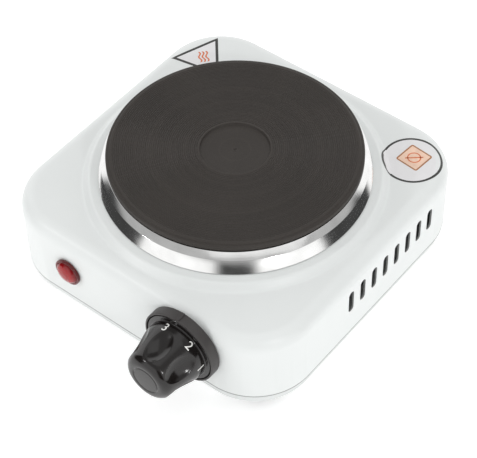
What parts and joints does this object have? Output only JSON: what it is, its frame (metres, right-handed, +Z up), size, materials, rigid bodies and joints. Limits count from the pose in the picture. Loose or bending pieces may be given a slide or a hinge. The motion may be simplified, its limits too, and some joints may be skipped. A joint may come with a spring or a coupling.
{
  "type": "hot plate burner",
  "caption": "Small electric hot plate: a round cast iron plate in a polished ring on a square white housing, with a pilot lamp and a rotary heat control.",
  "frame": {"origin": "on the resting plane, under the middle of the whole outline, which includes the knob at the front and the cable gland at the back; the plate's axis is 10.8 mm behind it", "axes": "+Z up; -Y is the front, with the lamp and the knob; +X is to the right for someone facing the knob"},
  "size_m": [0.134, 0.1594, 0.0579],
  "materials": {
    "enamel": "gloss",
    "cast_iron": "matte",
    "polished_steel": "polished",
    "inner_steel": "satin",
    "zinc_plate": "satin",
    "brass": "satin",
    "ceramic": "matte",
    "cement": "matte",
    "gloss_black": "gloss",
    "matt_black": "matte",
    "rubber": "matte",
    "red_lens": "gloss",
    "bulb_glass": "gloss",
    "nylon": "satin",
    "brown_wire": "satin",
    "blue_wire": "satin",
    "green_wire": "satin"
  },
  "bodies": {
    "base": {"housing": "enamel", "base_tray": "enamel", "hot_plate": "cast_iron", "trim_ring": "polished_steel", "element_insulation": "cement", "heating_element": "inner_steel", "heat_shield": "inner_steel", "clamp_bridge": "zinc_plate", "plate_stud": "zinc_plate", "clamp_washer": "zinc_plate", "clamp_nut": "zinc_plate", "knob_bezel": "matt_black", "thermostat_bush": "brass", "thermostat_bracket": "zinc_plate", "thermostat_base": "ceramic", "thermostat_screw_left": "zinc_plate", "thermostat_screw_right": "zinc_plate", "blade_post": "ceramic", "bimetal_blade": "brass", "blade_spacer": "ceramic", "contact_blade": "brass", "lamp_lens": "red_lens", "lamp_retainer": "zinc_plate", "neon_bulb": "bulb_glass", "lamp_cap": "nylon", "cable_gland": "matt_black", "mains_terminal_block": "nylon", "mains_screw_1": "brass", "mains_screw_2": "brass", "mains_screw_3": "brass", "element_terminal_block": "ceramic", "element_terminal_screw_left": "brass", "element_terminal_screw_right": "brass", "earth_tag": "brass", "earth_screw": "zinc_plate", "earth_nut": "zinc_plate", "wire_live": "brown_wire", "wire_heater": "brown_wire", "wire_neutral": "blue_wire", "wire_earth": "green_wire", "lamp_wire_live": "brown_wire", "lamp_wire_neutral": "blue_wire", "corner_post_front_left": "zinc_plate", "foot_front_left": "rubber", "foot_screw_front_left": "zinc_plate", "corner_post_front_right": "zinc_plate", "foot_front_right": "rubber", "foot_screw_front_right": "zinc_plate", "corner_post_back_right": "zinc_plate", "foot_back_right": "rubber", "foot_screw_back_right": "zinc_plate", "corner_post_back_left": "zinc_plate", "foot_back_left": "rubber", "foot_screw_back_left": "zinc_plate"},
    "knob": {"control_knob": "gloss_black", "thermostat_shaft": "inner_steel"}
  },
  "joints": [
    {"name": "knob_turn", "type": "hinge", "parent": "base", "child": "knob", "pos_m": [0.0296, -0.0562, 0.0299], "axis": [0, 1, 0], "range_deg": [-137, 14]}
  ]
}
